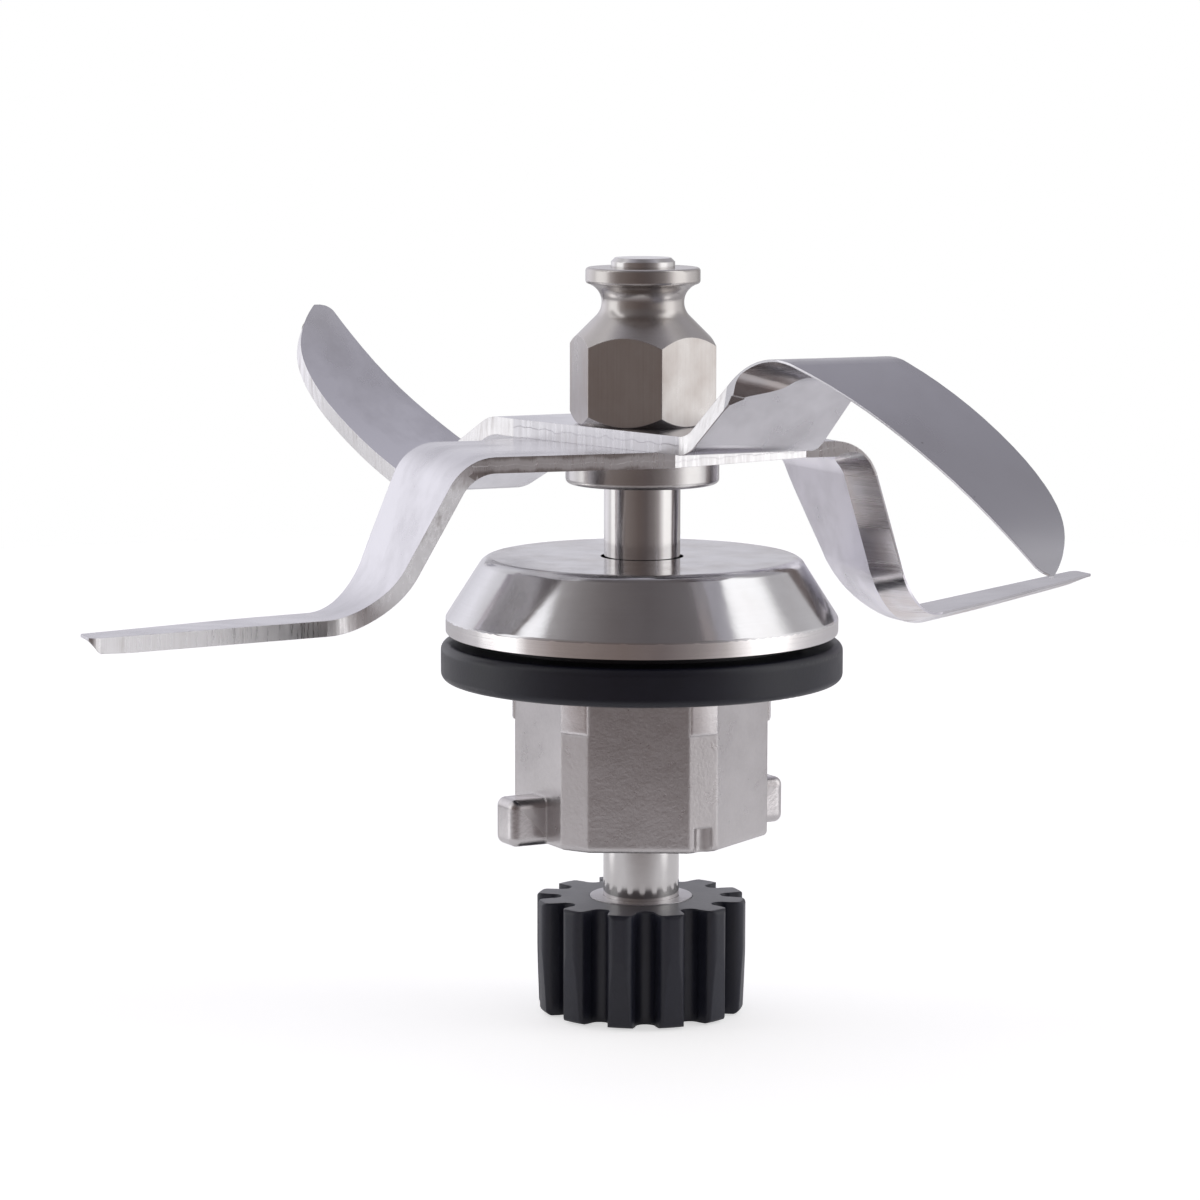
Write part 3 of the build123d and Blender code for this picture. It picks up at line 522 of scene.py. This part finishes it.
# Share of painted shade: the camera side of the floor, for rays other than camera rays.
painted_shade_share = sums(tree, "MULTIPLY", near_side, sums(tree, "SUBTRACT", 1.0, seen))
paint = tint(tree, spread(tree, mottle, 0.3, 0.7, 0, 0.05), floor_colour, (0.8, 0.8, 0.8, 1))
tree.links.new(tint(tree, painted_shade_share, paint, floor_painted_shade_colour), shader.inputs["Base Color"])
shader.inputs["Roughness"].default_value = 0.7
strength = sums(tree, "ADD", sums(tree, "MULTIPLY", seen, floor_glow), mirrored)
glow = wire(tree, "Emission", (1, 1, 1, 1), strength)
total = wire(tree, "AddShader", shader.outputs[0], glow)
tree.links.new(total, tree.nodes["Material Output"].inputs["Surface"])
floor_mesh.materials.append(floor_paint)

# Studio: white surroundings with a tall soft box on the left and on the right, and a dim warm room
# on the camera's side. The light is all in the world, by direction round the object.
studio_peak = 1.75
room_low = (
    (-180, (0.74, 0.73, 0.78)),
    (-160, (0.82, 0.81, 0.87)),
    (-138, (1.14, 1.13, 1.20)),
    (-125, (1.05, 1.04, 1.09)),
    (-112, (0.85, 0.84, 0.86)),
    (-106, (1.40, 1.40, 1.41)),
    (-80, (1.40, 1.40, 1.41)),
    (-70, (0.50, 0.46, 0.46)),
    (-50, (0.25, 0.215, 0.205)),
    (-10, (0.155, 0.125, 0.118)),
    (12, (0.140, 0.118, 0.118)),
    (35, (0.25, 0.225, 0.225)),
    (50, (0.42, 0.39, 0.39)),
    (62, (1.00, 0.97, 0.98)),
    (70, (1.45, 1.44, 1.44)),
    (92, (1.45, 1.44, 1.44)),
    (102, (1.00, 0.98, 1.00)),
    (118, (0.84, 0.83, 0.84)),
    (136, (0.68, 0.67, 0.68)),
    (146, (0.44, 0.42, 0.42)),
    (160, (0.44, 0.43, 0.44)),
    (180, (0.74, 0.73, 0.78)),
)
room_high = (
    (-180, (0.54, 0.53, 0.59)),
    (-160, (0.62, 0.61, 0.66)),
    (-145, (0.85, 0.84, 0.88)),
    (-127, (0.70, 0.69, 0.71)),
    (-115, (1.00, 0.99, 1.01)),
    (-105, (0.90, 0.89, 0.90)),
    (-101, (0.30, 0.28, 0.28)),
    (-94, (0.28, 0.26, 0.26)),
    (-91, (1.50, 1.50, 1.52)),
    (-78, (1.50, 1.50, 1.52)),
    (-73, (0.45, 0.43, 0.43)),
    (-55, (0.30, 0.28, 0.28)),
    (-25, (0.20, 0.18, 0.18)),
    (5, (0.150, 0.135, 0.138)),
    (40, (0.20, 0.185, 0.19)),
    (60, (0.28, 0.26, 0.27)),
    (69, (0.70, 0.68, 0.69)),
    (76, (1.60, 1.60, 1.60)),
    (102, (1.50, 1.50, 1.50)),
    (112, (0.55, 0.54, 0.55)),
    (125, (0.46, 0.45, 0.47)),
    (155, (0.50, 0.49, 0.54)),
    (180, (0.54, 0.53, 0.59)),
)
overhead_front = (0.150, 0.135, 0.138, 1)
overhead_back = (0.46, 0.45, 0.50, 1)
turnover_front, turnover_back = -0.10, 0.06
high_from, high_full = 0.30, 0.55
overhead_from, overhead_full = 0.80, 0.93

world = bpy.data.worlds.new("studio")
bpy.context.scene.world = world
world.use_nodes = True
tree = world.node_tree
for old in list(tree.nodes):
    tree.nodes.remove(old)
way = wire(tree, "TexCoord", out=0)
split = tree.nodes.new("ShaderNodeSeparateXYZ")
tree.links.new(way, split.inputs[0])
turn = sums(tree, "ARCTAN2", split.outputs[0], sums(tree, "MULTIPLY", split.outputs[1], -1.0))
turn = spread(tree, turn, -pi, pi, 0, 1)


def round_the_room(colours):
    """Light by direction round the object, from a list of turns in degrees and colours."""
    ramp = tree.nodes.new("ShaderNodeValToRGB")
    tree.links.new(turn, ramp.inputs[0])
    stops = ramp.color_ramp.elements
    while len(stops) > 1:
        stops.remove(stops[-1])
    for index, (degrees_round, colour) in enumerate(colours):
        spot = degrees_round / 360 + 0.5
        stop = stops[0] if index == 0 else stops.new(spot)
        stop.position = spot
        stop.color = tuple(c / studio_peak for c in colour) + (1,)
    return tint(tree, 1.0, ramp.outputs[0], (studio_peak, studio_peak, studio_peak, 1), "MULTIPLY")


rise = split.outputs[2]
high_share = spread(tree, rise, high_from, high_full, 0, 1)
walls = tint(tree, high_share, round_the_room(room_low), round_the_room(room_high))
back_share = spread(tree, split.outputs[1], turnover_front, turnover_back, 0, 1)
overhead = tint(tree, back_share, overhead_front, overhead_back)
sky = tint(tree, spread(tree, rise, overhead_from, overhead_full, 0, 1), walls, overhead)
room = wire(tree, "Background", sky, 1.0)
white = wire(tree, "Background", (1, 1, 1, 1), 1.0)
seen = wire(tree, "LightPath", out=0)
both = wire(tree, "MixShader", seen, room, white)
output = tree.nodes.new("ShaderNodeOutputWorld")
tree.links.new(both, output.inputs["Surface"])

# Camera: a long lens in front of the blades, a little above them and looking slightly down.
camera_distance = 0.444502
camera_height = 0.10283
camera_pitch = radians(7.599)
camera_yaw = radians(-0.567)
camera_roll = radians(-0.109)
camera_lens = 128.254

ahead = Vector((sin(camera_yaw) * cos(camera_pitch), cos(camera_yaw) * cos(camera_pitch), -sin(camera_pitch)))
level_right = Vector((cos(camera_yaw), -sin(camera_yaw), 0))
level_down = ahead.cross(level_right)
right = cos(camera_roll) * level_right + sin(camera_roll) * level_down
down = cos(camera_roll) * level_down - sin(camera_roll) * level_right
camera_data = bpy.data.cameras.new("camera")
camera_data.lens = camera_lens
camera_data.sensor_width = 36
camera_data.clip_start = 0.01
camera = bpy.data.objects.new("camera", camera_data)
bpy.context.scene.collection.objects.link(camera)
camera.matrix_world = Matrix((
    (right.x, -down.x, -ahead.x, 0),
    (right.y, -down.y, -ahead.y, -camera_distance),
    (right.z, -down.z, -ahead.z, camera_height),
    (0, 0, 0, 1),
))
bpy.context.scene.camera = camera
bpy.context.scene.view_settings.view_transform = "Standard"
